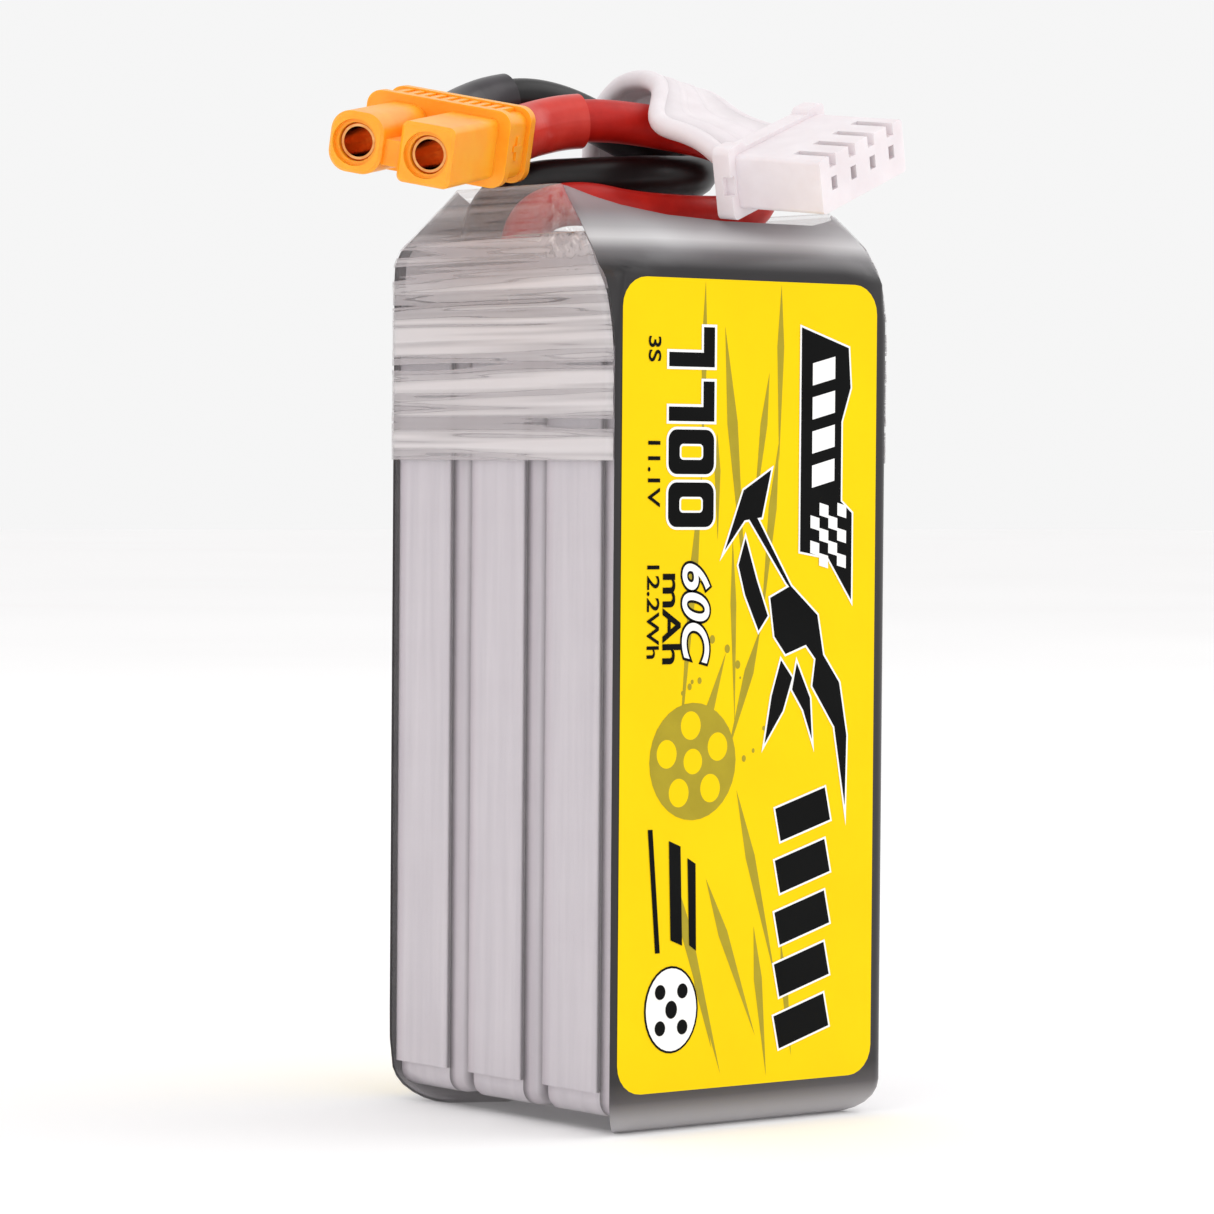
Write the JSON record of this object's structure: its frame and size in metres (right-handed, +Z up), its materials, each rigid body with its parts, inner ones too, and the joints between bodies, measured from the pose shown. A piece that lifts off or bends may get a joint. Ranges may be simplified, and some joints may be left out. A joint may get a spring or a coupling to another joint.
{
  "type": "lipo battery pack",
  "caption": "Upright rectangular lithium polymer battery pack in a printed shrink sleeve, with looped power leads to a socket plug and a ribbon balance lead.",
  "frame": {"origin": "middle of the base of the shrink sleeve, leads and plugs left out", "axes": "+X along the width of the label, +Y away from the label through the stacked cells, +Z up towards the leads"},
  "size_m": [0.0386, 0.0302, 0.072],
  "materials": {
    "printed_sleeve_film": "glossy shrink film, dark on the label sides and clear at the cell edges",
    "clear_film": "clear wrinkled shrink film",
    "label_print": null,
    "white_card": "pale insulating card",
    "tab_metal": "rolled metal strip",
    "board_laminate": "green board laminate",
    "solder": "bright solder",
    "amber_tape": "amber insulating tape",
    "amber_nylon": "moulded amber nylon",
    "gold_plate": "gold plated",
    "white_nylon": "moulded white nylon",
    "tin_plate": "tin plated",
    "red_silicone": "satin silicone",
    "black_silicone": "satin silicone",
    "red_shrink": "semi-gloss heat-shrink",
    "black_shrink": "semi-gloss heat-shrink",
    "pouch_foil": "satin laminated foil",
    "electrode_foil": "wound foil",
    "white_wire": "white insulated wire"
  },
  "bodies": {
    "root": {"back_label": "label_print", "balance_board": "board_laminate", "balance_plug_contacts": "tin_plate", "balance_plug_housing": "white_nylon", "balance_wire_1": "white_wire", "balance_wire_2": "white_wire", "balance_wire_3": "white_wire", "balance_wire_4": "white_wire", "black_lead": "black_silicone", "black_lead_shrink": "black_shrink", "board_solder_joints": "solder", "cell_1_cover": "pouch_foil", "cell_1_cup": "pouch_foil", "cell_1_electrode_stack": "electrode_foil", "cell_1_negative_tab": "tab_metal", "cell_1_positive_tab": "tab_metal", "cell_2_cover": "pouch_foil", "cell_2_cup": "pouch_foil", "cell_2_electrode_stack": "electrode_foil", "cell_2_negative_tab": "tab_metal", "cell_2_positive_tab": "tab_metal", "cell_3_cover": "pouch_foil", "cell_3_cup": "pouch_foil", "cell_3_electrode_stack": "electrode_foil", "cell_3_negative_tab": "tab_metal", "cell_3_positive_tab": "tab_metal", "cell_pad_1": "white_card", "cell_pad_2": "white_card", "front_label": "label_print", "insulation_tape": "amber_tape", "power_contact_negative": "gold_plate", "power_contact_positive": "gold_plate", "power_plug_housing": "amber_nylon", "red_lead": "red_silicone", "red_lead_shrink": "red_shrink", "series_link_1": "tab_metal", "series_link_2": "tab_metal", "shrink_sleeve": "printed_sleeve_film", "top_insulator": "white_card", "upper_wrap_left": "clear_film", "upper_wrap_right": "clear_film"}
  },
  "joints": []
}
